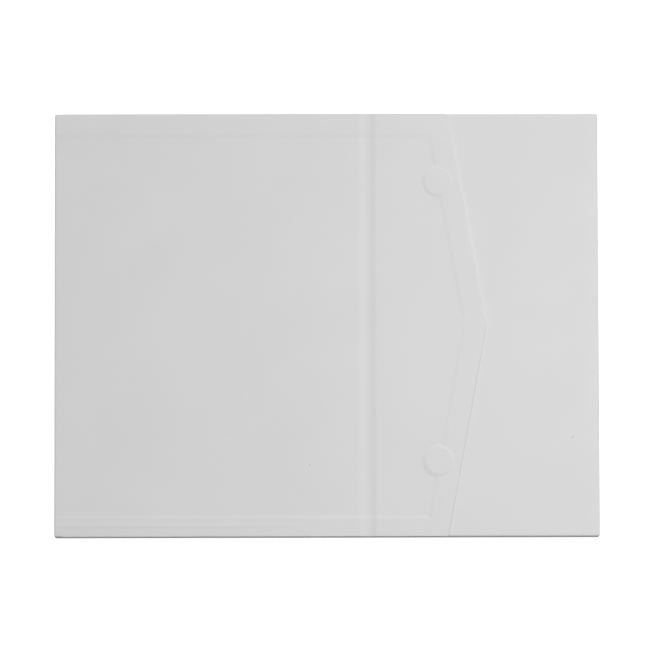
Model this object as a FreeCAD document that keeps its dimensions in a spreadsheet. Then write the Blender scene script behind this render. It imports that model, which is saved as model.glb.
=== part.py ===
import FreeCAD, Part
import os
import Sketcher

# Rigid portfolio case for prints. A shallow covered-board tray has a fixed pocket panel over its right
# side. A cover hinged on the tall left wall, the spine, folds over the rest: a rectangular leaf, a
# crease, and a pointed tongue that overlaps the pocket panel and is held down by two magnets.
#
# Millimetres. +X runs from the spine to the pocket, +Y from the front wall to the rear wall, +Z up.
# The origin is the middle of the underside. Every piece is a flat stack of layers, so every sketch
# lies in a plane parallel to XY.

SIZES = {
    # the whole case
    "case_length": 375.0,
    "case_width": 293.0,
    # sheets: outer covering of the tray, lining paper, and the outer face of the cover
    "cloth": 0.4,
    "liner": 0.3,
    "face_sheet": 0.4,
    # tray boards
    "base_board": 2.0,
    "wall_board": 2.0,
    "wall_height": 8.0,
    "pocket_board": 1.6,
    "mouth_setback": 3.5,
    # cover: board, play under it, the lining turned over the board's outer face, and the fold lines
    "cover_board": 1.5,
    "closing_gap": 0.1,
    "hem_width": 14.0,
    "spine_gap": 2.8,
    "crease_gap": 12.5,
    "groove_drop": 1.3,
    # tongue: straight side at the front and rear edges, how far its point stands out, and how far the
    # point stops short of the case's right edge
    "tongue_side": 49.3,
    "tongue_point": 26.7,
    "point_margin": 77.5,
    # closure: magnets let through the tongue's board, so that they stand proud of its hems, and steel
    # discs let into the pocket panel
    "magnet_diameter": 18.0,
    "magnet_thickness": 2.0,
    "magnet_from_crease": 43.2,
    "rear_magnet_margin": 47.2,
    "front_magnet_margin": 51.9,
    "keeper_thickness": 1.0,
    "disc_clearance": 0.1,
}

doc = FreeCAD.newDocument("portfolio_case")
sheet = doc.addObject("Spreadsheet::Sheet", "Sizes")
for row, (alias, value) in enumerate(SIZES.items(), start=1):
    sheet.set(f"A{row}", alias)
    sheet.set(f"B{row}", str(value))
    sheet.setAlias(f"B{row}", alias)
doc.recompute()

# --- places, as expressions of the sheet's cells -----------------------------------------------------

RIGHT = "(Sizes.case_length / 2)"
LEFT = "(-Sizes.case_length / 2)"
REAR = "(Sizes.case_width / 2)"
FRONT = "(-Sizes.case_width / 2)"

# faces of the wall boards, seen from inside and from outside
RIGHT_BOARD = f"({RIGHT} - Sizes.cloth)"
RIGHT_INSIDE = f"({RIGHT_BOARD} - Sizes.wall_board)"
SPINE_BOARD = f"({LEFT} + Sizes.cloth)"
SPINE_INSIDE = f"({SPINE_BOARD} + Sizes.wall_board)"
REAR_BOARD = f"({REAR} - Sizes.cloth)"
REAR_INSIDE = f"({REAR_BOARD} - Sizes.wall_board)"
FRONT_BOARD = f"({FRONT} + Sizes.cloth)"
FRONT_INSIDE = f"({FRONT_BOARD} + Sizes.wall_board)"

# across the cover: point, tongue, crease, leaf, gap beside the spine
POINT = f"({RIGHT} - Sizes.point_margin)"
TONGUE_LEFT = f"({POINT} - Sizes.tongue_point - Sizes.tongue_side)"
LEAF_RIGHT = f"({TONGUE_LEFT} - Sizes.crease_gap)"
LEAF_LEFT = f"({SPINE_INSIDE} + Sizes.spine_gap)"
MOUTH = f"({TONGUE_LEFT} + Sizes.mouth_setback)"

# levels of the tray
BASE_TOP = "(Sizes.cloth + Sizes.base_board)"
LINED_TOP = f"({BASE_TOP} + Sizes.liner)"
WALL_TOP = f"({BASE_TOP} + Sizes.wall_height)"
TRAY_TOP = f"({WALL_TOP} + Sizes.cloth)"
POCKET_LOW = f"({WALL_TOP} - Sizes.pocket_board)"

# levels of the cover: lining, board, hem, face sheet, and the sheets in the grooves
COVER_LOW = f"({TRAY_TOP} + Sizes.closing_gap)"
BOARD_LOW = f"({COVER_LOW} + Sizes.liner)"
BOARD_TOP = f"({BOARD_LOW} + Sizes.cover_board)"
HEM_TOP = f"({BOARD_TOP} + Sizes.liner)"
FACE_TOP = f"({HEM_TOP} + Sizes.face_sheet)"
FIELD_TOP = f"({FACE_TOP} - Sizes.liner)"
GROOVE_TOP = f"({FACE_TOP} - Sizes.groove_drop)"
GROOVE_MID = f"({GROOVE_TOP} - Sizes.face_sheet)"
GROOVE_LOW = f"({GROOVE_MID} - Sizes.liner)"
HINGE_LOW = f"({BOARD_TOP} - Sizes.liner)"

# closure discs
MAGNET_X = f"({TONGUE_LEFT} + Sizes.magnet_from_crease)"
MAGNET_TOP = f"({BOARD_LOW} + Sizes.magnet_thickness)"
MAGNET_RADIUS = "(Sizes.magnet_diameter / 2)"
MAGNET_Y = {
    "front": f"({FRONT} + Sizes.front_magnet_margin)",
    "rear": f"({REAR} - Sizes.rear_magnet_margin)",
}
KEEPER_LOW = f"({WALL_TOP} - Sizes.keeper_thickness)"
HOLE_RADIUS = f"({MAGNET_RADIUS} + Sizes.disc_clearance)"
BUMP_RADIUS = f"({HOLE_RADIUS} + Sizes.face_sheet)"

# the tongue's point: how much its edge moves back for each millimetre away from the middle
SLOPE = "(2 * Sizes.tongue_point / Sizes.case_width)"


# --- outlines: lists of (x, y) corners, or one circle ------------------------------------------------

def rectangle(x_low, x_high, y_low, y_high):
    return [(x_low, y_low), (x_high, y_low), (x_high, y_high), (x_low, y_high)]


def leaf_outline(inset="0"):
    """The leaf, drawn in from its front and rear edges. Its ends are the two fold lines."""
    return rectangle(LEAF_LEFT, LEAF_RIGHT, f"({FRONT} + {inset})", f"({REAR} - {inset})")


def tongue_outline(inset="0"):
    """The tongue, drawn in square to every edge but the one at the crease."""
    half = f"({REAR} - {inset})"
    point = f"({POINT} - {inset} * sqrt(1 + {SLOPE} ^ 2))"
    side = f"({point} - {half} * {SLOPE})"
    return [(TONGUE_LEFT, f"-{half}"), (side, f"-{half}"), (point, "0"), (side, half), (TONGUE_LEFT, half)]


def circle(x, y, radius):
    return {"x": x, "y": y, "radius": radius}


# --- pieces ------------------------------------------------------------------------------------------

pieces = []


def board(name, x_low, x_high, y_low, y_high, z_low, z_high):
    """A flat rectangular board."""
    box = doc.addObject("Part::Box", name)
    box.setExpression("Length", f"{x_high} - {x_low}")
    box.setExpression("Width", f"{y_high} - {y_low}")
    box.setExpression("Height", f"{z_high} - {z_low}")
    box.setExpression("Placement.Base.x", x_low)
    box.setExpression("Placement.Base.y", y_low)
    box.setExpression("Placement.Base.z", z_low)
    pieces.append(box)


def disc(name, x, y, z_low, radius, thickness):
    """A magnet or a steel disc."""
    cylinder = doc.addObject("Part::Cylinder", name)
    cylinder.setExpression("Radius", radius)
    cylinder.setExpression("Height", thickness)
    cylinder.setExpression("Placement.Base.x", x)
    cylinder.setExpression("Placement.Base.y", y)
    cylinder.setExpression("Placement.Base.z", z_low)
    pieces.append(cylinder)


def drive(sketch, kind, geometry, place, value):
    """Holds a point of the geometry at a distance from the sketch's origin, given by an expression."""
    start = sketch.evalExpression(value)
    index = sketch.addConstraint(Sketcher.Constraint(kind, -1, 1, geometry, place, start))
    sketch.setExpression(f"Constraints[{index}]", value)


def draw(body, outline, level):
    """A sketch of the outline, at a level of the body's XY plane."""
    plane = next(f for f in body.Origin.OriginFeatures if f.Role == "XY_Plane")
    sketch = body.newObject("Sketcher::SketchObject", f"{body.Name}_sketch")
    sketch.AttachmentSupport = (plane, [""])
    sketch.MapMode = "FlatFace"
    sketch.setExpression("AttachmentOffset.Base.z", level)
    if isinstance(outline, dict):
        radius = sketch.evalExpression(outline["radius"])
        middle = FreeCAD.Vector(sketch.evalExpression(outline["x"]), sketch.evalExpression(outline["y"]), 0)
        ring = sketch.addGeometry(Part.Circle(middle, FreeCAD.Vector(0, 0, 1), radius))
        index = sketch.addConstraint(Sketcher.Constraint("Radius", ring, radius))
        sketch.setExpression(f"Constraints[{index}]", outline["radius"])
        drive(sketch, "DistanceX", ring, 3, outline["x"])
        drive(sketch, "DistanceY", ring, 3, outline["y"])
        return sketch
    corners = [FreeCAD.Vector(sketch.evalExpression(x), sketch.evalExpression(y), 0) for x, y in outline]
    edges = [sketch.addGeometry(Part.LineSegment(start, end))
             for start, end in zip(corners, corners[1:] + corners[:1])]
    for edge, following in zip(edges, edges[1:] + edges[:1]):
        sketch.addConstraint(Sketcher.Constraint("Coincident", edge, 2, following, 1))
    for edge, (x, y) in zip(edges, outline):
        drive(sketch, "DistanceX", edge, 1, x)
        drive(sketch, "DistanceY", edge, 1, y)
    return sketch


def layered(name, layers):
    """A piece built of flat layers: each adds or cuts an outline between two levels, in turn."""
    body = doc.addObject("PartDesign::Body", name)
    for action, outline, low, high in layers:
        adds = action == "add"
        sketch = draw(body, outline, low if adds else high)
        feature = body.newObject("PartDesign::Pad" if adds else "PartDesign::Pocket", f"{name}_{action}")
        feature.Profile = sketch
        feature.setExpression("Length", f"{high} - {low}")
    pieces.append(body)


# tray: base
board("base_covering", LEFT, RIGHT, FRONT, REAR, "0", "Sizes.cloth")
board("base_board", SPINE_BOARD, RIGHT_BOARD, FRONT_BOARD, REAR_BOARD, "Sizes.cloth", BASE_TOP)
board("base_lining", SPINE_INSIDE, RIGHT_INSIDE, FRONT_INSIDE, REAR_INSIDE, BASE_TOP, LINED_TOP)

# tray: walls; the spine is the tall one, which the cover is hinged to
board("front_wall_board", SPINE_INSIDE, RIGHT_BOARD, FRONT_BOARD, FRONT_INSIDE, BASE_TOP, WALL_TOP)
board("rear_wall_board", SPINE_INSIDE, RIGHT_BOARD, REAR_INSIDE, REAR_BOARD, BASE_TOP, WALL_TOP)
board("right_wall_board", RIGHT_INSIDE, RIGHT_BOARD, FRONT_INSIDE, REAR_INSIDE, BASE_TOP, WALL_TOP)
SPINE_TOP = f"({FIELD_TOP} - Sizes.cloth)"
board("spine_board", SPINE_BOARD, SPINE_INSIDE, FRONT_BOARD, REAR_BOARD, BASE_TOP, SPINE_TOP)

LINED_FRONT = f"({FRONT_INSIDE} + Sizes.liner)"
LINED_REAR = f"({REAR_INSIDE} - Sizes.liner)"
LINED_RIGHT = f"({RIGHT_INSIDE} - Sizes.liner)"
LINED_SPINE = f"({SPINE_INSIDE} + Sizes.liner)"
layered("wall_lining", [
    ("add", rectangle(SPINE_INSIDE, RIGHT_INSIDE, FRONT_INSIDE, REAR_INSIDE), LINED_TOP, WALL_TOP),
    ("cut", rectangle(LINED_SPINE, LINED_RIGHT, LINED_FRONT, LINED_REAR), LINED_TOP, WALL_TOP),
])

# the covering of the front and rear walls goes up their outside and over the board and the lining
layered("front_wall_covering", [
    ("add", rectangle(SPINE_INSIDE, MOUTH, FRONT, FRONT_BOARD), "Sizes.cloth", TRAY_TOP),
    ("add", rectangle(SPINE_INSIDE, MOUTH, FRONT, LINED_FRONT), WALL_TOP, TRAY_TOP),
])
layered("rear_wall_covering", [
    ("add", rectangle(SPINE_INSIDE, MOUTH, REAR_BOARD, REAR), "Sizes.cloth", TRAY_TOP),
    ("add", rectangle(SPINE_INSIDE, MOUTH, LINED_REAR, REAR), WALL_TOP, TRAY_TOP),
])
layered("spine_covering", [
    ("add", rectangle(LEFT, SPINE_INSIDE, FRONT, REAR), "Sizes.cloth", FIELD_TOP),
    ("cut", rectangle(SPINE_BOARD, SPINE_INSIDE, FRONT_BOARD, REAR_BOARD), "Sizes.cloth", SPINE_TOP),
])

# pocket panel: a board between the walls, flush with their tops, under one sheet that goes down the
# outside of the three walls and round the mouth's edge
MOUTH_BOARD = f"({MOUTH} + Sizes.cloth)"
keeper_holes = [("cut", circle(MAGNET_X, y, HOLE_RADIUS), KEEPER_LOW, WALL_TOP) for y in MAGNET_Y.values()]
layered("pocket_board", [
    ("add", rectangle(MOUTH_BOARD, LINED_RIGHT, LINED_FRONT, LINED_REAR), POCKET_LOW, WALL_TOP),
    *keeper_holes,
])
POCKET_LINED = f"({POCKET_LOW} - Sizes.liner)"
board("pocket_lining", MOUTH, LINED_RIGHT, LINED_FRONT, LINED_REAR, POCKET_LINED, POCKET_LOW)
layered("pocket_covering", [
    ("add", rectangle(MOUTH, RIGHT, FRONT, REAR), "Sizes.cloth", TRAY_TOP),
    ("cut", rectangle(MOUTH, RIGHT_BOARD, FRONT_BOARD, REAR_BOARD), "Sizes.cloth", WALL_TOP),
    ("add", rectangle(MOUTH, MOUTH_BOARD, LINED_FRONT, LINED_REAR), POCKET_LOW, WALL_TOP),
])
for side, y in MAGNET_Y.items():
    disc(f"keeper_disc_{side}", MAGNET_X, y, KEEPER_LOW, MAGNET_RADIUS, "Sizes.keeper_thickness")


# cover: the lining goes round the board's edges and is turned over its outer face, as a hem; the face
# sheet is laid over both, so it stands higher along the hems than in the field between them
def cover_layers(outline):
    """The layers of the lining and of the face sheet, for one stiff part of the cover."""
    lining = [
        ("add", outline(), COVER_LOW, HEM_TOP),
        ("cut", outline("Sizes.hem_width"), BOARD_TOP, HEM_TOP),
        ("cut", outline("Sizes.liner"), BOARD_LOW, BOARD_TOP),
    ]
    face = [
        ("add", outline(), HEM_TOP, FACE_TOP),
        ("add", outline("Sizes.hem_width"), BOARD_TOP, HEM_TOP),
        ("cut", outline("(Sizes.hem_width + Sizes.face_sheet)"), FIELD_TOP, FACE_TOP),
    ]
    return lining, face


leaf_lining, leaf_face = cover_layers(leaf_outline)
layered("leaf_board", [("add", leaf_outline("Sizes.liner"), BOARD_LOW, BOARD_TOP)])
layered("leaf_lining", leaf_lining)
layered("leaf_face", leaf_face)

# tongue: each magnet sits on the lining, in a hole through the board, under a bump of the face sheet
tongue_lining, tongue_face = cover_layers(tongue_outline)
magnet_holes = [("cut", circle(MAGNET_X, y, HOLE_RADIUS), BOARD_LOW, BOARD_TOP) for y in MAGNET_Y.values()]
hem_holes = [("cut", circle(MAGNET_X, y, BUMP_RADIUS), BOARD_TOP, HEM_TOP) for y in MAGNET_Y.values()]
bumps = [
    *(("add", circle(MAGNET_X, y, BUMP_RADIUS), BOARD_TOP, f"({MAGNET_TOP} + Sizes.face_sheet)")
      for y in MAGNET_Y.values()),
    *(("cut", circle(MAGNET_X, y, HOLE_RADIUS), BOARD_TOP, MAGNET_TOP) for y in MAGNET_Y.values()),
]
layered("tongue_board", [("add", tongue_outline("Sizes.liner"), BOARD_LOW, BOARD_TOP), *magnet_holes])
layered("tongue_lining", tongue_lining + hem_holes)
layered("tongue_face", tongue_face + bumps)
for side, y in MAGNET_Y.items():
    disc(f"magnet_{side}", MAGNET_X, y, BOARD_LOW, MAGNET_RADIUS, "Sizes.magnet_thickness")

# the fold lines, where only the face sheet and the lining cross from one stiff part to the next: they
# sink into a groove at the crease, and bridge the gap at the spine level with its top
board("crease_face", LEAF_RIGHT, TONGUE_LEFT, FRONT, REAR, GROOVE_MID, GROOVE_TOP)
board("crease_lining", LEAF_RIGHT, TONGUE_LEFT, FRONT, REAR, GROOVE_LOW, GROOVE_MID)
board("spine_hinge_face", SPINE_INSIDE, LEAF_LEFT, FRONT, REAR, BOARD_TOP, FIELD_TOP)
layered("spine_hinge_lining", [
    ("add", rectangle(SPINE_INSIDE, LEAF_LEFT, FRONT, REAR), HINGE_LOW, BOARD_TOP),
    ("add", rectangle(SPINE_INSIDE, LINED_SPINE, LINED_FRONT, LINED_REAR), WALL_TOP, HINGE_LOW),
])

doc.recompute()
for thing in doc.Objects:
    if {"Invalid", "Error"} & set(thing.State):
        raise RuntimeError(f"{thing.Label}: {thing.State}")
for piece in pieces:
    if piece.Shape.isNull() or not piece.Shape.isValid() or not piece.Shape.Solids:
        raise RuntimeError(f"{piece.Label}: no valid solid")

os.makedirs("parts", exist_ok=True)
for piece in pieces:
    piece.Shape.exportStep(f"parts/{piece.Label}.step")
    box = piece.Shape.BoundBox
    print(f"{piece.Label:22s} {len(piece.Shape.Solids)} solid  {piece.Shape.Volume / 1000:8.2f} cm3  "
          f"z {box.ZMin:6.2f} to {box.ZMax:6.2f}")
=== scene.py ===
import math

import bmesh
import bpy
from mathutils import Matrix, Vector


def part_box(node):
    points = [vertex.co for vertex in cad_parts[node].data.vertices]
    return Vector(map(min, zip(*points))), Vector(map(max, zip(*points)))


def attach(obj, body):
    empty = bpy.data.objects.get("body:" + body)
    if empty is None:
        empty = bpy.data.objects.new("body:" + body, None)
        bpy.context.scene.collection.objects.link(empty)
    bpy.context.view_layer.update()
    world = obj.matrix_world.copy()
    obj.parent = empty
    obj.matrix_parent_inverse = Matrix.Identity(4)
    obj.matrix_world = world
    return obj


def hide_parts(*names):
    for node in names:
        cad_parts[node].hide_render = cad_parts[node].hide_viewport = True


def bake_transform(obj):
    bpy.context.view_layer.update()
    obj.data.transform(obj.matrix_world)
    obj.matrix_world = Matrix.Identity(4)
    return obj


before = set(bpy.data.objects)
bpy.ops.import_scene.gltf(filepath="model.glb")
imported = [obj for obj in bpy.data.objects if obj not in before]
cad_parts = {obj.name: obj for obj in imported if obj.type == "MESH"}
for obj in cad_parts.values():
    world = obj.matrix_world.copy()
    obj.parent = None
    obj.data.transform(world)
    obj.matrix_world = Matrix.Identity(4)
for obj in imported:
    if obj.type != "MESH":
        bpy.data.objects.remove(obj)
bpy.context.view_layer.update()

# A rigid portfolio case in covered board: a shallow tray with a pocket panel at its right, and a cover
# that hinges on the spine and ends in a pointed tongue. Metres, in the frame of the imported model:
# +X from the spine to the pocket, +Y from the front wall to the rear wall, +Z up.

MM = 0.001

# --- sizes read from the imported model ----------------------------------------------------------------

LEFT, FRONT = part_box("base_covering")[0].xy
RIGHT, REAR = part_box("base_covering")[1].xy
BASE_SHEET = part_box("base_covering")[1].z
SPINE_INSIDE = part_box("spine_board")[1].x
TRAY_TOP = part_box("pocket_covering")[1].z
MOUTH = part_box("pocket_covering")[0].x
POCKET_BOARD_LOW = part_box("pocket_board")[0].z
POCKET_FRONT, POCKET_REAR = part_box("pocket_board")[0].y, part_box("pocket_board")[1].y
LEAF_LEFT, LEAF_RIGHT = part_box("leaf_face")[0].x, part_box("leaf_face")[1].x
TONGUE_LEFT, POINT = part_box("tongue_face")[0].x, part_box("tongue_face")[1].x
COVER_LOW, HEM_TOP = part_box("leaf_lining")[0].z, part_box("leaf_lining")[1].z
BOARD_LOW, BOARD_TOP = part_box("leaf_board")[0].z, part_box("leaf_board")[1].z
FACE_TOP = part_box("leaf_face")[1].z
BUMP_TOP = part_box("tongue_face")[1].z

LINER = BOARD_LOW - COVER_LOW
CLOTH = FACE_TOP - HEM_TOP
FIELD_TOP = BOARD_TOP + CLOTH
CREASE_MIDDLE = (LEAF_RIGHT + TONGUE_LEFT) / 2
MAGNETS = [sum(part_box(f"magnet_{side}"), Vector()) / 2 for side in ("front", "rear")]
MAGNET_RADIUS = (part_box("magnet_rear")[1].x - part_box("magnet_rear")[0].x) / 2

# the corner where the tongue's slanted edge leaves the rear edge, and the slant from there to the point
SHOULDER = max(v.co.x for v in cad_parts["tongue_face"].data.vertices if v.co.y > REAR - 0.01 * MM)
SLANT = (POINT - SHOULDER) / REAR
SQUARE = 1 / math.hypot(1, SLANT)

# --- sizes of the paper work -------------------------------------------------------------------------

# lining turned over the outer face of the cover's boards: as wide as it was folded, a little uneven
HEM = 14.0 * MM
REAR_HEM, FRONT_HEM, POINT_HEM = 15.3 * MM, 13.35 * MM, 14.75 * MM
HEM_SKEW = 0.0017              # how much the rear and front hems narrow to the right
HEM_RISE = FACE_TOP - FIELD_TOP
# widths of the slopes down to the field
REAR_STEP, FRONT_STEP, POINT_STEP = 4.4 * MM, 2.8 * MM, 3.4 * MM
EDGE_RADIUS = 0.8 * MM         # how tightly the covering rounds a board's edge
EDGE_LINE = 1.4 * MM           # a line scored just past such a rounding
FACE_ROLL = 0.25 * MM          # width of the rounding at the face sheet's cut edge
LINING_RADIUS = 0.5 * MM       # how tightly the thin lining rounds a board's edge
COVER_CORNER = 0.9 * MM        # radius of the cover's corners
SPINE_CORNER = 1.3 * MM        # radius of the spine's upright corners
TRAY_CORNER = 1.3 * MM         # radius of the tray's upright corners at the right
DRAPE = 6.3                    # width of the slope round a magnet, in heights of the magnet's rise
FRONT_MAGNET_LIFT = 0.17 * MM  # the sheet stands a little further off the front magnet
BUMP_REACH = 11.5 * MM         # half the finely scored square round a magnet
FACE_GRID = 8 * MM             # widest spacing of the lines scored across the face sheets
POCKET_GRID = 10 * MM          # the same on the pocket panel's cloth
BASE_GRID = 15 * MM            # the same on the sheet under the base
ROLL_LINES = (0.0, 0.08, 0.3, 0.62, 1.0)    # lines across an edge's rounding, in shares of its width
TRAY_GRID = 20 * MM            # the same on long straight cloths and strips
FINE = 0.36 * MM               # spacing of the lines round a magnet
HINGE_LINES = 0.35 * MM        # spacing of the lines along the spine's hinge
CREASE_LINES = 0.75 * MM       # spacing of the lines along the crease
TURN_UNDER = 2.0 * MM          # wall cloth turned in under the base
CORE = 2.3 * MM                # how far inside the outline the corners' turned-in cloth draws together
SHEET_MARGIN = 1.6 * MM        # how far the sheet under the base stays in from the edge
SHEET_CORNER = 1.2 * MM        # radius of that sheet's corners
CLOTH_LOW = 0.1 * MM           # lowest level of the wall cloth, clear of the table
CLEARANCE = 0.1 * MM           # how far the spine's inner strip stays clear of its neighbours
BASE_LIFT = 0.15 * MM          # how much higher the middle of the sheet under the base lies
TABLE_DROP = 0.02 * MM         # how far the table lies below the case, so that they don't coincide
SPARE = 3.0 * MM               # extra sheet beyond a seam, cut off once the edge is rolled

# slope across the crease as (distance from its middle, slope): a soft shoulder on the leaf's side and
# a crisp one at the tongue's board
CREASE_SECTION = ((-6.75 * MM, 0.0), (-3.85 * MM, 0.215), (-2.45 * MM, 0.225), (0.45 * MM, 0.0),
                  (3.75 * MM, -0.235), (5.55 * MM, -0.24), (6.6 * MM, 0.0))

CREASE_RISE = 0.5 * MM         # how far the lining stays above its own level in the crease
RISE_FULL, RISE_NONE = 2.5 * MM, 6.0 * MM   # where it is up in full and not at all, from the middle

# a low wrinkle in the front hem, where two layers of paste lie, fading out towards the crease
WRINKLE = FRONT + 7.1 * MM
WRINKLE_RISE = 0.18 * MM
WRINKLE_REAR, WRINKLE_FRONT = 1.6 * MM, 0.8 * MM
WRINKLE_END = LEAF_RIGHT - 12.0 * MM
WRINKLE_FADE = WRINKLE_END - 90.0 * MM

# lines scored along the front hem, the rear hem and the wrinkle, as (nearest, furthest, spacing)
FRONT_HEM_LINES = (11.6 * MM, 15.2 * MM, 0.45 * MM)
REAR_HEM_LINES = (12.7 * MM, 17.9 * MM, 0.65 * MM)
WRINKLE_LINES = (WRINKLE - 2.0 * MM, WRINKLE + 3.0 * MM, 0.4 * MM)


# --- shapes as formulas ------------------------------------------------------------------------------

def fade(value, low, high):
    """1 below low, 0 above high, and a smooth way down between them."""
    t = min(1.0, max(0.0, (high - value) / (high - low)))
    return t * t * (3 - 2 * t)


def point_distance(x, y):
    """How far a place on the tongue is from its slanted edge."""
    return (POINT - SLANT * abs(y) - x) * SQUARE


def crease_depth(x):
    """How far the face sheet has sunk at x: the slopes of the crease's section, summed from the left."""
    depth = 0.0
    for (start, first), (end, last) in zip(CREASE_SECTION, CREASE_SECTION[1:]):
        run = min(max(x - CREASE_MIDDLE - start, 0.0), end - start)
        depth += first * run + (last - first) * run * run / (2 * (end - start))
    return depth


def crease_rise(x):
    """How far the lining rises into the crease from below."""
    return CREASE_RISE * fade(abs(x - CREASE_MIDDLE), RISE_FULL, RISE_NONE)


def wrinkle(x, y):
    """Height of the wrinkle in the front hem."""
    away = y - WRINKLE
    width = WRINKLE_REAR if away > 0 else WRINKLE_FRONT
    return WRINKLE_RISE * math.exp(-(away / width) ** 2) * fade(x, WRINKLE_FADE, WRINKLE_END)


def hem(distance, depth, step):
    """Rise of the face sheet over a hem, at a distance in from the edge that the hem was turned over."""
    return HEM_RISE * fade(distance, depth - step / 2, depth + step / 2)


def cover_level(x, y):
    """Level of the outer face of the closed case, from its left edge to the tongue's point."""
    hems = (hem(REAR - y, REAR_HEM - HEM_SKEW * x, REAR_STEP),
            hem(y - FRONT, FRONT_HEM - HEM_SKEW * x, FRONT_STEP),
            hem(point_distance(x, y), POINT_HEM, POINT_STEP))
    level = FIELD_TOP + max(hems) + wrinkle(x, y) - crease_depth(x)
    for magnet, top in zip(MAGNETS, (BUMP_TOP + FRONT_MAGNET_LIFT, BUMP_TOP)):
        away = math.hypot(x - magnet.x, y - magnet.y) - MAGNET_RADIUS
        rise = top - level
        slope = DRAPE * max(rise, 0.05 * MM)
        level += rise * fade(away, -0.15 * slope, 0.85 * slope)
    return level


def roll(distance, width):
    """How far a sheet has rolled down over a board's edge, at a distance in from that edge."""
    return EDGE_RADIUS - math.sqrt(EDGE_RADIUS ** 2 - min(max(width - distance, 0.0), width) ** 2)


# --- mesh tools --------------------------------------------------------------------------------------

def spread(start, end, step):
    """Evenly spaced places from start to end, at most a step apart."""
    count = math.ceil((end - start) / step)
    return [start + (end - start) * i / count for i in range(count + 1)]


def score(bm, place, normal, faces=None):
    """Scores the mesh, or only these faces of it, along a plane."""
    if faces is None:
        geometry = bm.verts[:] + bm.edges[:] + bm.faces[:]
    else:
        geometry = list({part for face in faces for part in (face, *face.edges, *face.verts)})
    bmesh.ops.bisect_plane(bm, geom=geometry, dist=1e-7, plane_co=place, plane_no=normal)


def rule(bm, axis, places, faces=None):
    """Scores straight lines at these places of one axis, 0 for x, 1 for y, 2 for z."""
    normal = Vector([float(axis == i) for i in range(3)])
    for place in places:
        chosen = None if faces is None else faces()
        score(bm, normal * place, normal, chosen)


def cut_off(bm, place, side):
    """Cuts the sheet across x and drops what lies on that side of the cut."""
    bmesh.ops.bisect_plane(bm, geom=bm.verts[:] + bm.edges[:] + bm.faces[:], dist=1e-7, clear_outer=True,
                           plane_co=(place, 0.0, 0.0), plane_no=(side, 0.0, 0.0))


def rolled_sheet(corners, rounded, radius, width):
    """A flat sheet at level 0 with some corners rounded, its edge rolled down over a width."""
    bm = bmesh.new()
    points = [bm.verts.new((x, y, 0.0)) for x, y in corners]
    bm.faces.new(points)
    bmesh.ops.bevel(bm, geom=[points[i] for i in rounded], affect="VERTICES", offset=radius,
                    segments=5, profile=0.5, material=-1)
    sheet = bm.faces[:]
    reached = 0.0
    for share in ROLL_LINES:
        if share:
            bmesh.ops.inset_region(bm, faces=sheet, thickness=share * width - reached,
                                   use_even_offset=True, use_boundary=True)
        reached = share * width
        for vert in sheet[0].verts:
            vert.co.z = -roll(reached, width)
    return bm


def folds(bm, angle=1.0):
    """The edges at which a sheet is folded by more than an angle."""
    return [edge for edge in bm.edges if not edge.is_boundary and edge.calc_face_angle(0.0) > angle]


def rim(bm, wanted):
    """The edges of an open sheet's outline whose two ends are both wanted."""
    return [edge for edge in bm.edges if edge.is_boundary and all(wanted(vert.co) for vert in edge.verts)]


def draw_out(bm, edges, place):
    """Extrudes edges and moves the new ones to a place worked out from where they were."""
    made = bmesh.ops.extrude_edge_only(bm, edges=edges)["geom"]
    for vert in made:
        if isinstance(vert, bmesh.types.BMVert):
            vert.co = place(vert.co.copy())
    bm.normal_update()
    return [edge for edge in made if isinstance(edge, bmesh.types.BMEdge)
            and all(vert in made for vert in edge.verts)]


def round_off(bm, edges, radius, segments=4):
    """Rounds off folded edges."""
    bmesh.ops.bevel(bm, geom=edges, affect="EDGES", offset=radius, segments=segments, profile=0.5,
                    material=-1)


def drawn_in(at, share, level):
    """A place on the tray's outline moved a share of the way to its core, and put at a level."""
    core_x = min(max(at.x, LEFT + CORE), RIGHT - CORE)
    core_y = min(max(at.y, FRONT + CORE), REAR - CORE)
    moved = at.lerp(Vector((core_x, core_y, level)), share)
    moved.z = level
    return moved


def wall_down(bm, edges):
    """Takes a sheet's rim down as walls, rounds their foot and turns it in under the base."""
    foot = draw_out(bm, edges, lambda at: Vector((at.x, at.y, CLOTH_LOW + EDGE_RADIUS)))
    line = [(EDGE_RADIUS * (1 - math.cos(turn)), EDGE_RADIUS * (1 - math.sin(turn)))
            for turn in spread(0.0, math.pi / 2, math.pi / 8)[1:]]
    reached = 0.0
    for within, lift in line + [(TURN_UNDER, 0.0)]:
        share = (within - reached) / (CORE - reached)
        foot = draw_out(bm, foot, lambda at: drawn_in(at, share, CLOTH_LOW + lift))
        reached = within
    rule(bm, 2, (CLOTH_LOW + EDGE_LINE, TRAY_TOP - EDGE_LINE))


def thicken(bm, thickness, outward):
    """Gives an open sheet its thickness inwards. Its furthest face in a direction faces that way."""
    bmesh.ops.recalc_face_normals(bm, faces=bm.faces)
    furthest = max(bm.faces, key=lambda face: face.calc_center_median().dot(outward))
    if furthest.normal.dot(outward) < 0:
        bmesh.ops.reverse_faces(bm, faces=bm.faces)
    bmesh.ops.solidify(bm, geom=bm.faces[:], thickness=thickness)


SHARP = math.radians(38)       # edges folded more than this stay crisp


def make_piece(name, bm, finish):
    """Turns a bmesh into a piece of the case, with crisp cut edges and smooth paper."""
    mesh = bpy.data.meshes.new(name)
    bm.to_mesh(mesh)
    bm.free()
    mesh.shade_smooth()
    mesh.set_sharp_from_angle(angle=SHARP)
    piece = bpy.data.objects.new(name, mesh)
    bpy.context.scene.collection.objects.link(piece)
    mesh.materials.append(finish)
    return piece


# --- finishes ----------------------------------------------------------------------------------------

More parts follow.
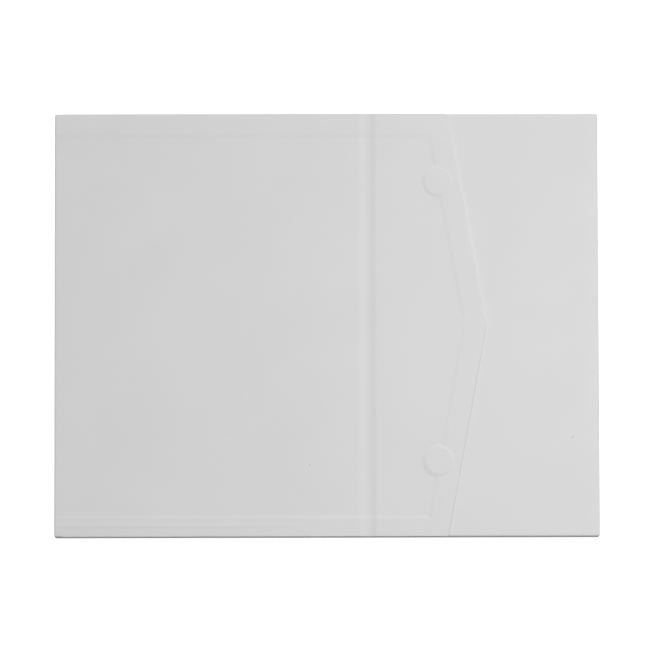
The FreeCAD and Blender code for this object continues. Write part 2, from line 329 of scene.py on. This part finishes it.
class Value:
    """A number in a finish that varies over the surface. Sums and products of it add Math nodes."""

    def __init__(self, finish, socket):
        self.finish = finish
        self.socket = socket

    def maths(self, operation, *others):
        made = self.finish.node("ShaderNodeMath", {"operation": operation})
        for socket, value in zip(made.inputs, (self, *others)):
            self.finish.feed(socket, value)
        return Value(self.finish, made.outputs[0])

    def __add__(self, other):
        return self.maths("ADD", other)

    def __sub__(self, other):
        return self.maths("SUBTRACT", other)

    def __rsub__(self, other):
        return self.maths("MULTIPLY_ADD", -1.0, other)

    def __mul__(self, other):
        return self.maths("MULTIPLY", other)

    def __truediv__(self, other):
        return self.maths("DIVIDE", other)

    def __pow__(self, other):
        return self.maths("POWER", other)

    __radd__ = __add__
    __rmul__ = __mul__

    def size(self):
        return self.maths("ABSOLUTE")

    def at_least(self, other):
        return self.maths("MAXIMUM", other)

    def at_most(self, other):
        return self.maths("MINIMUM", other)

    def ramp(self, low, high):
        """0 below low, 1 above high, smooth between; the other way round when low is above high."""
        made = self.finish.node("ShaderNodeMapRange", {"interpolation_type": "SMOOTHSTEP"},
                                {"Value": self, "From Min": low, "From Max": high})
        return Value(self.finish, made.outputs["Result"])


class Finish:
    """A material under construction."""

    def __init__(self, name):
        self.material = bpy.data.materials.new(name)
        self.material.use_nodes = True
        self.tree = self.material.node_tree
        self.tree.nodes.clear()
        self.at = self.node("ShaderNodeTexCoord").outputs["Object"]
        parts = self.node("ShaderNodeSeparateXYZ", {}, {"Vector": self.at})
        self.x, self.y, self.z = (Value(self, parts.outputs[axis]) for axis in "XYZ")

    def node(self, kind, settings={}, inputs={}):
        """Adds a node: its settings first, then what its sockets hold or are linked to."""
        made = self.tree.nodes.new(kind)
        for name, setting in settings.items():
            setattr(made, name, setting)
        for name, value in inputs.items():
            self.feed(made.inputs[name], value)
        return made

    def feed(self, socket, value):
        """Links a socket to a value or another socket, or sets it to a number or colour."""
        if isinstance(value, Value):
            value = value.socket
        if isinstance(value, bpy.types.NodeSocket):
            self.tree.links.new(value, socket)
        elif socket.type == "RGBA":
            socket.default_value = (*value, 1.0)
        else:
            socket.default_value = value

    def noise(self, grain, detail=2.0, rough=0.5, shift=0.0, stretch=(1.0, 1.0, 1.0)):
        """Soft noise round 0.5 whose grains are about this size, longer along a stretched axis."""
        at = self.node("ShaderNodeMapping", {}, {"Vector": self.at, "Location": (shift, shift, shift),
                                                 "Scale": tuple(1.0 / length for length in stretch)})
        made = self.node("ShaderNodeTexNoise", {}, {"Vector": at.outputs[0], "Scale": 1.0 / grain,
                                                    "Detail": detail, "Roughness": rough})
        return Value(self, made.outputs[0])

    def cells(self, grain, shift=0.0):
        """Distance to the nearest of many scattered points, in grains, and a random tone per point."""
        at = self.node("ShaderNodeMapping", {}, {"Vector": self.at, "Location": (shift, shift, shift)})
        made = self.node("ShaderNodeTexVoronoi", {}, {"Vector": at.outputs[0], "Scale": 1.0 / grain})
        tone = self.node("ShaderNodeSeparateColor", {}, {"Color": made.outputs["Color"]})
        return Value(self, made.outputs["Distance"]), Value(self, tone.outputs[0])

    def blot(self, x, y, length, width, turn=0.0):
        """1 at a place on the case, fading to 0 at the rim of an oval round it."""
        angle = math.radians(turn)
        along = (self.x - x) * math.cos(angle) + (self.y - y) * math.sin(angle)
        across = (self.y - y) * math.cos(angle) - (self.x - x) * math.sin(angle)
        return ((along / (length / 2)) ** 2 + (across / (width / 2)) ** 2).ramp(1.0, 0.0)

    def mix(self, amount, first, second):
        """A colour between two colours."""
        made = self.node("ShaderNodeMix", {"data_type": "RGBA"})
        for socket, value in zip((made.inputs[0], made.inputs[6], made.inputs[7]), (amount, first, second)):
            self.feed(socket, value)
        return made.outputs[2]

    def complete(self, color, roughness, height, metallic=0.0, specular=0.5, sheen=0.0):
        """Puts colour, roughness and a height in metres on one shader."""
        bump = self.node("ShaderNodeBump", {}, {"Height": height, "Distance": 1.0, "Strength": 1.0})
        shader = self.node("ShaderNodeBsdfPrincipled", {}, {
            "Base Color": color, "Roughness": roughness, "Metallic": metallic, "Normal": bump.outputs[0],
            "Specular IOR Level": specular, "Sheen Weight": sheen})
        self.node("ShaderNodeOutputMaterial", {}, {"Surface": shader.outputs[0]})
        return self.material


def make_covering_paper():
    """Matt white covering paper on board: faint tooth and clouds, handling marks, greyer at the edges."""
    paper = Finish("covering_paper")
    clouds = paper.noise(45 * MM, 3.0, 0.55)
    tooth = paper.noise(0.45 * MM, 3.0, 0.6)
    fibres_along = paper.noise(0.5 * MM, 2.0, 0.5, 0.3, (6.0, 1.0, 1.0))
    fibres_across = paper.noise(0.5 * MM, 2.0, 0.5, 0.7, (1.0, 6.0, 1.0))
    fibres = fibres_along + fibres_across
    distance, tone = paper.cells(9 * MM, 0.2)
    specks = distance.ramp(0.045, 0.02) * tone.ramp(0.9, 0.94)
    edge = (paper.x.size() - (RIGHT - EDGE_LINE)).at_least(paper.y.size() - (REAR - EDGE_LINE))
    worn = edge.ramp(0.0, 1.6 * MM) * paper.noise(7 * MM, 3.0, 0.6, 0.5).ramp(0.42, 0.68)
    # a speck on the leaf, one on the pocket panel, a smudge at the front hem, and stray specks
    marks = (paper.blot(-11.9 * MM, -97.3 * MM, 1.6 * MM, 1.1 * MM) * 0.6
             + paper.blot(169.4 * MM, -78.0 * MM, 2.2 * MM, 1.2 * MM, 30) * 0.5
             + paper.blot(74.5 * MM, -137.5 * MM, 9.0 * MM, 4.0 * MM, 15) * 0.03
             + specks * 0.2).at_most(1.0)
    tone_of_pulp = (clouds * 0.9 + fibres * 0.25 - 0.2).ramp(0.2, 0.8)
    tint = paper.mix(tone_of_pulp, (0.742, 0.741, 0.738), (0.760, 0.760, 0.760))
    tint = paper.mix(worn * 0.35, tint, (0.60, 0.59, 0.57))
    tint = paper.mix(marks, tint, (0.36, 0.35, 0.34))
    roughness = 0.62 + (tooth - 0.5) * 0.12 + (clouds - 0.5) * 0.08 - worn * 0.06
    height = (tooth * 0.012 + fibres * 0.006 + clouds * 0.05) * MM
    # a dent in the tongue's rear hem and a scratch on the pocket panel
    dents = (paper.blot(81.1 * MM, 132.2 * MM, 3.4 * MM, 2.6 * MM) * 0.12
             + paper.blot(141.8 * MM, -97.3 * MM, 5.0 * MM, 1.2 * MM) * 0.04)
    return paper.complete(tint, roughness, height - dents * MM, specular=0.3)


def make_lining_paper():
    """Smooth white lining paper, a little warmer than the covering, with loose short fibres."""
    paper = Finish("lining_paper")
    clouds = paper.noise(30 * MM, 3.0, 0.6, 0.1)
    tooth = paper.noise(0.3 * MM, 3.0, 0.6, 0.2)
    threads = paper.noise(1.1 * MM, 1.0, 0.4, 0.4, (7.0, 1.0, 1.0)).ramp(0.66, 0.74)
    tint = paper.mix(clouds, (0.80, 0.795, 0.780), (0.825, 0.822, 0.812))
    tint = paper.mix(threads * 0.25, tint, (0.70, 0.69, 0.66))
    roughness = 0.66 + (tooth - 0.5) * 0.14
    height = (tooth * 0.008 + threads * 0.004 + clouds * 0.03) * MM
    return paper.complete(tint, roughness, height, specular=0.3)


def make_greyboard():
    """Solid grey board of recycled pulp: layers along its cut edges, flecks and fuzz."""
    board = Finish("greyboard")
    layers = board.noise(0.25 * MM, 2.0, 0.5, 0.1, (30.0, 30.0, 1.0))
    pulp = board.noise(2.2 * MM, 4.0, 0.65, 0.4)
    distance, tone = board.cells(1.6 * MM, 0.6)
    flecks = distance.ramp(0.3, 0.12) * tone.ramp(0.6, 0.7)
    tint = board.mix(layers, (0.27, 0.255, 0.23), (0.38, 0.36, 0.325))
    tint = board.mix(pulp.ramp(0.35, 0.65) * 0.4, tint, (0.31, 0.295, 0.27))
    tint = board.mix(flecks * 0.5, tint, (0.16, 0.15, 0.14))
    roughness = 0.86 + (pulp - 0.5) * 0.16
    return board.complete(tint, roughness, (layers * 0.03 + pulp * 0.04) * MM, specular=0.2)


def make_plating(name, low, high, rough):
    """Plated steel or a plated magnet: fine turned scratches, a few dull patches."""
    metal = Finish(name)
    scratches = metal.noise(0.12 * MM, 2.0, 0.6, 0.2, (25.0, 1.0, 1.0))
    patches = metal.noise(3.5 * MM, 3.0, 0.6, 0.5).ramp(0.4, 0.7)
    tint = metal.mix(patches * 0.6 + scratches * 0.4, low, high)
    roughness = rough + patches * 0.12 + (scratches - 0.5) * 0.1
    return metal.complete(tint, roughness, scratches * 0.002 * MM, metallic=1.0)


COVERING = make_covering_paper()
LINING = make_lining_paper()
GREYBOARD = make_greyboard()
NICKEL = make_plating("magnet_nickel", (0.56, 0.54, 0.50), (0.70, 0.68, 0.64), 0.22)
ZINC = make_plating("keeper_zinc", (0.46, 0.47, 0.48), (0.62, 0.63, 0.65), 0.34)


# --- the cover: face sheet and lining over leaf, crease and tongue -----------------------------------

OUTLINE = ((LEAF_LEFT, FRONT), (SHOULDER, FRONT), (POINT, 0.0), (SHOULDER, REAR), (LEAF_LEFT, REAR))


def hem_places():
    """Lines along the front and rear hems, and along the wrinkle."""
    return ([FRONT + depth for depth in spread(*FRONT_HEM_LINES)]
            + [REAR - depth for depth in spread(*REAR_HEM_LINES)]
            + spread(*WRINKLE_LINES))


def faces_near(bm, magnet):
    """The faces of a sheet in the square round a magnet."""
    middles = [(face, face.calc_center_median()) for face in bm.faces]
    return [face for face, at in middles if max(abs(at.x - magnet.x), abs(at.y - magnet.y)) < BUMP_REACH]


def make_face_sheet():
    """The one outer sheet over leaf, crease and tongue, laid over the hems and the magnets."""
    corners = [(x - SPARE if x == LEAF_LEFT else x, y) for x, y in OUTLINE]
    bm = rolled_sheet(corners, (1, 2, 3), COVER_CORNER, FACE_ROLL)
    cut_off(bm, LEAF_LEFT, -1.0)
    rule(bm, 0, spread(LEAF_LEFT, POINT, FACE_GRID)[1:-1])
    rule(bm, 0, spread(LEAF_RIGHT - MM, TONGUE_LEFT + MM, CREASE_LINES))
    rule(bm, 1, spread(FRONT, REAR, FACE_GRID)[1:-1] + hem_places())
    for depth in spread(POINT_HEM - POINT_STEP / 2, POINT_HEM + POINT_STEP / 2, 0.5 * MM):
        place = (POINT - depth / SQUARE, 0.0, 0.0)
        for side in (-1.0, 1.0):
            half = [face for face in bm.faces if face.calc_center_median().x > TONGUE_LEFT
                    and face.calc_center_median().y * side > 0]
            score(bm, place, (SQUARE, side * SLANT * SQUARE, 0.0), half)
    for magnet in MAGNETS:
        for axis in (0, 1):
            rule(bm, axis, (magnet[axis] - BUMP_REACH, magnet[axis] + BUMP_REACH))
        for axis in (0, 1):
            places = spread(magnet[axis] - BUMP_REACH, magnet[axis] + BUMP_REACH, FINE)[1:-1]
            rule(bm, axis, places, lambda: faces_near(bm, magnet))
    for vert in bm.verts:
        vert.co.z += cover_level(vert.co.x, vert.co.y)
    thicken(bm, CLOTH, Vector((0, 0, 1)))
    piece = make_piece("cover_face_sheet", bm, COVERING)
    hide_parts("leaf_face", "crease_face", "tongue_face")
    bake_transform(piece)


def hem_inside(at):
    """Where the hem that starts at a place on the cover's outline ends."""
    inner = REAR - HEM
    y = min(max(at.y, -inner), inner)
    if abs(at.x - LEAF_LEFT) < 1e-7:
        return Vector((at.x, y, at.z))
    return Vector((POINT - SLANT * abs(y) - HEM / SQUARE, y, at.z))


def make_lining_sheet():
    """The one inner sheet under leaf, crease and tongue, turned up over the boards' edges as hems."""
    bm = bmesh.new()
    bm.faces.new([bm.verts.new((x, y, COVER_LOW)) for x, y in OUTLINE])
    folded = rim(bm, lambda at: True)
    folded = [edge for edge in folded if any(vert.co.x > LEAF_LEFT + MM for vert in edge.verts)]
    upper = draw_out(bm, folded, lambda at: Vector((at.x, at.y, HEM_TOP)))
    draw_out(bm, upper, hem_inside)
    bmesh.ops.recalc_face_normals(bm, faces=bm.faces)
    round_off(bm, folds(bm, 0.2), LINING_RADIUS, 3)
    rule(bm, 0, spread(LEAF_RIGHT - MM, TONGUE_LEFT + MM, CREASE_LINES))
    for vert in bm.verts:
        low = COVER_LOW + crease_rise(vert.co.x)
        high = HEM_TOP - crease_depth(vert.co.x)
        vert.co.z = low + (high - low) * (vert.co.z - COVER_LOW) / (HEM_TOP - COVER_LOW)
    thicken(bm, LINER, Vector((0, 0, -1)))
    piece = make_piece("cover_lining_sheet", bm, LINING)
    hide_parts("leaf_lining", "crease_lining", "tongue_lining")
    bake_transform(piece)


make_face_sheet()
make_lining_sheet()


# --- the spine: covering over the spine board and across the hinge, and the strip inside -------------


def make_spine_cloth():
    """Covering of the spine board, from under the base, up and across the hinge to the leaf."""
    corners = ((LEFT, FRONT), (LEAF_LEFT + SPARE, FRONT), (LEAF_LEFT + SPARE, REAR), (LEFT, REAR))
    bm = rolled_sheet(corners, (0, 3), SPINE_CORNER, EDGE_RADIUS)
    cut_off(bm, LEAF_LEFT, 1.0)
    rule(bm, 0, spread(SPINE_INSIDE, LEAF_LEFT, HINGE_LINES)[:-1])
    rule(bm, 1, spread(FRONT, REAR, FACE_GRID)[1:-1] + hem_places())
    for vert in bm.verts:
        vert.co.z += cover_level(vert.co.x, vert.co.y)
    wall_down(bm, rim(bm, lambda at: at.x < SPINE_INSIDE + 1e-6))
    rule(bm, 2, (BOARD_LOW,))
    thicken(bm, CLOTH, Vector((0, 0, 1)))
    piece = make_piece("spine_cloth", bm, COVERING)
    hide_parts("spine_covering", "spine_hinge_face")
    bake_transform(piece)


def make_spine_strip():
    """A strip up the inside of the spine board, across the gap and down the leaf's edge. Above the
    walls it runs on to the ends of the hinge."""
    low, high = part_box("spine_hinge_lining")
    bm = bmesh.new()
    top = high.z - LINER * 0.6
    start, end = low.x + CLEARANCE, LEAF_LEFT - CLEARANCE
    section = ((start, low.z), (start, top), (end, top), (end, COVER_LOW))
    points = [bm.verts.new((x, POCKET_FRONT, z)) for x, z in section]
    run = [bm.edges.new(pair) for pair in zip(points, points[1:])]
    draw_out(bm, run, lambda at: Vector((at.x, POCKET_REAR, at.z)))
    round_off(bm, folds(bm), LINING_RADIUS)
    rule(bm, 2, (TRAY_TOP + CLEARANCE,))
    for side in (-1, 1):
        ends = rim(bm, lambda at: abs(at.y - side * POCKET_REAR) < 1e-6 and at.z > TRAY_TOP + CLEARANCE / 2)
        draw_out(bm, ends, lambda at: Vector((at.x, side * (REAR - CLOTH), at.z)))
    rule(bm, 0, spread(low.x + 0.7 * MM, LEAF_LEFT - 0.7 * MM, HINGE_LINES))
    rule(bm, 1, spread(POCKET_FRONT, POCKET_REAR, TRAY_GRID)[1:-1])
    thicken(bm, LINER, Vector((0, 0, 1)))
    piece = make_piece("spine_lining_strip", bm, LINING)
    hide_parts("spine_hinge_lining")
    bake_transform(piece)


make_spine_cloth()
make_spine_strip()


# --- the tray's coverings ----------------------------------------------------------------------------

def make_wall_cloth(side, name):
    """Covering of the front (-1) or rear (1) wall: from under the base, up and in over the top."""
    bm = bmesh.new()
    outer, inner = side * REAR, side * POCKET_REAR
    section = ((outer - side * TURN_UNDER, CLOTH_LOW), (outer, CLOTH_LOW),
               (outer, TRAY_TOP), (inner, TRAY_TOP))
    points = [bm.verts.new((SPINE_INSIDE, y, z)) for y, z in section]
    run = [bm.edges.new(pair) for pair in zip(points, points[1:])]
    draw_out(bm, run, lambda at: Vector((MOUTH, at.y, at.z)))
    round_off(bm, folds(bm), EDGE_RADIUS)
    rule(bm, 0, spread(SPINE_INSIDE, MOUTH, TRAY_GRID)[1:-1])
    rule(bm, 2, (CLOTH_LOW + EDGE_LINE, TRAY_TOP - EDGE_LINE))
    thicken(bm, CLOTH, Vector((0, 0, 1)))
    piece = make_piece(f"{name}_cloth", bm, COVERING)
    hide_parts(f"{name}_covering")
    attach(piece, "tray")


def make_pocket_cloth():
    """Covering of the pocket panel, down its three walls and turned in under its mouth."""
    corners = ((MOUTH - SPARE, FRONT), (RIGHT, FRONT), (RIGHT, REAR), (MOUTH - SPARE, REAR))
    bm = rolled_sheet(corners, (1, 2), TRAY_CORNER, EDGE_RADIUS)
    cut_off(bm, MOUTH, -1.0)
    rule(bm, 0, [MOUTH + EDGE_RADIUS * share for share in ROLL_LINES[1:]])
    rule(bm, 0, spread(MOUTH, RIGHT, POCKET_GRID)[1:-1])
    rule(bm, 1, spread(POCKET_FRONT, POCKET_REAR, POCKET_GRID) + [POCKET_FRONT + MM, POCKET_REAR - MM])
    for vert in bm.verts:
        inside = fade(abs(vert.co.y), POCKET_REAR - MM, POCKET_REAR)
        vert.co.z += TRAY_TOP - roll(vert.co.x - MOUTH, EDGE_RADIUS) * inside
    mouth = rim(bm, lambda at: at.x < MOUTH + 1e-6 and abs(at.y) < POCKET_REAR + 1e-6)
    outside = [edge for edge in rim(bm, lambda at: True)
               if max(vert.co.x for vert in edge.verts) > MOUTH + 1e-6]
    draw_out(bm, mouth, lambda at: Vector((MOUTH, at.y, POCKET_BOARD_LOW)))
    wall_down(bm, outside)
    thicken(bm, CLOTH, Vector((0, 0, 1)))
    piece = make_piece("pocket_cloth", bm, COVERING)
    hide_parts("pocket_covering")
    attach(piece, "tray")


def make_base_sheet():
    """The sheet under the base: lowest along its rim, where the wall cloth's turn-ins lie above it."""
    bm = bmesh.new()
    x, y = RIGHT - SHEET_MARGIN, REAR - SHEET_MARGIN
    points = [bm.verts.new(corner) for corner in ((-x, -y, 0.0), (x, -y, 0.0), (x, y, 0.0), (-x, y, 0.0))]
    bm.faces.new(points)
    bmesh.ops.bevel(bm, geom=points, affect="VERTICES", offset=SHEET_CORNER, segments=4, profile=0.5,
                    material=-1)
    for axis, low, high in ((0, LEFT, RIGHT), (1, FRONT, REAR)):
        step = spread(HEM - FRONT_STEP / 2, HEM + FRONT_STEP / 2, 0.5 * MM)
        rule(bm, axis, [low + place for place in step] + [high - place for place in step])
    rule(bm, 0, spread(LEFT, RIGHT, BASE_GRID)[1:-1])
    rule(bm, 1, spread(FRONT, REAR, BASE_GRID)[1:-1])
    for vert in bm.verts:
        edges = min(RIGHT - abs(vert.co.x), REAR - abs(vert.co.y))
        vert.co.z = BASE_LIFT * (1 - fade(edges, HEM - FRONT_STEP / 2, HEM + FRONT_STEP / 2))
    thicken(bm, BASE_SHEET, Vector((0, 0, -1)))
    piece = make_piece("base_cloth", bm, COVERING)
    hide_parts("base_covering")
    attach(piece, "tray")


make_wall_cloth(-1, "front_wall")
make_wall_cloth(1, "rear_wall")
make_pocket_cloth()
make_base_sheet()


# --- finishes of the boards, linings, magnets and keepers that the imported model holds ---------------

for name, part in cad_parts.items():
    if name.endswith("_board"):
        finish = GREYBOARD
    elif "lining" in name:
        finish = LINING
    elif "keeper" in name:
        finish = ZINC
    elif "magnet" in name:
        finish = NICKEL
    else:
        finish = COVERING
    part.data.materials.clear()
    part.data.materials.append(finish)


# --- table, light and camera -------------------------------------------------------------------------

def make_table():
    """A pale table that looks white from above however the case shades it."""
    bm = bmesh.new()
    bmesh.ops.create_grid(bm, x_segments=2, y_segments=2, size=6.0)
    bmesh.ops.translate(bm, verts=bm.verts, vec=(0.0, 0.0, -TABLE_DROP))
    mesh = bpy.data.meshes.new("table")
    bm.to_mesh(mesh)
    bm.free()
    table = bpy.data.objects.new("table", mesh)
    bpy.context.scene.collection.objects.link(table)
    pale = Finish("table_white")
    grain = pale.noise(4 * MM, 3.0)
    tint = pale.mix(grain, (0.38, 0.38, 0.38), (0.40, 0.40, 0.40))
    matt = pale.node("ShaderNodeBsdfDiffuse", {}, {"Color": tint})
    glow = pale.node("ShaderNodeEmission", {}, {"Color": (1.0, 1.0, 1.0), "Strength": 0.9})
    seen = pale.node("ShaderNodeLightPath").outputs["Is Camera Ray"]
    both = pale.node("ShaderNodeAddShader")
    pale.tree.links.new(matt.outputs[0], both.inputs[0])
    pale.tree.links.new(glow.outputs[0], both.inputs[1])
    choice = pale.node("ShaderNodeMixShader", {}, {0: seen, 1: matt.outputs[0], 2: both.outputs[0]})
    pale.node("ShaderNodeOutputMaterial", {}, {"Surface": choice.outputs[0]})
    mesh.materials.append(pale.material)


def aim(thing, place, target):
    """Puts a lamp or camera at a place and turns it to face a target."""
    thing.location = place
    thing.rotation_euler = (Vector(target) - Vector(place)).to_track_quat("-Z", "Y").to_euler()


def around(azimuth, elevation, distance):
    """A place at this distance from the middle of the case, azimuth counted from +X towards +Y."""
    turn, lift = math.radians(azimuth), math.radians(elevation)
    direction = Vector((math.cos(turn) * math.cos(lift), math.sin(turn) * math.cos(lift), math.sin(lift)))
    return direction * distance


def make_lamp(name, kind, place, power, color, **settings):
    """A lamp that faces the middle of the case."""
    lamp = bpy.data.lights.new(name, kind)
    lamp.energy = power
    lamp.color = color
    for setting, value in settings.items():
        setattr(lamp, setting, value)
    holder = bpy.data.objects.new(name, lamp)
    bpy.context.scene.collection.objects.link(holder)
    aim(holder, place, (0.0, 0.0, 0.0))


make_table()
make_lamp("key", "SUN", around(88, 45, 3.0), 0.93, (1.0, 1.0, 1.01), angle=math.radians(8))
make_lamp("side", "SUN", around(5, 35, 3.0), 0.15, (1.0, 1.0, 1.01), angle=math.radians(20))
make_lamp("overhead", "AREA", Vector((0.40, 0.045, 0.72)), 1.70, (0.99, 0.99, 1.02),
          shape="DISK", size=0.35)

world = bpy.data.worlds.new("studio")
world.use_nodes = True
backdrop = world.node_tree.nodes["Background"]
backdrop.inputs["Color"].default_value = (1.0, 1.0, 1.0, 1.0)
backdrop.inputs["Strength"].default_value = 0.422
bpy.context.scene.world = world
bpy.context.scene.view_settings.view_transform = "Standard"

VIEW_DISTANCE = 4.8
VIEW_WIDTH = 0.448             # how much of the table the picture takes in
VIEW_TILT = 6.4                # degrees from straight down, towards the front
VIEW_ROLL = 0.13               # degrees that the picture is turned by
camera = bpy.data.cameras.new("camera")
camera.lens = camera.sensor_width * VIEW_DISTANCE / VIEW_WIDTH
camera.clip_end = 50.0
viewer = bpy.data.objects.new("camera", camera)
bpy.context.scene.collection.objects.link(viewer)
middle = Vector((-1.15 * MM, -0.5 * MM, BUMP_TOP))
aim(viewer, middle + around(-90, 90 - VIEW_TILT, VIEW_DISTANCE), middle)
viewer.rotation_euler.rotate_axis("Z", math.radians(-VIEW_ROLL))
bpy.context.scene.camera = viewer
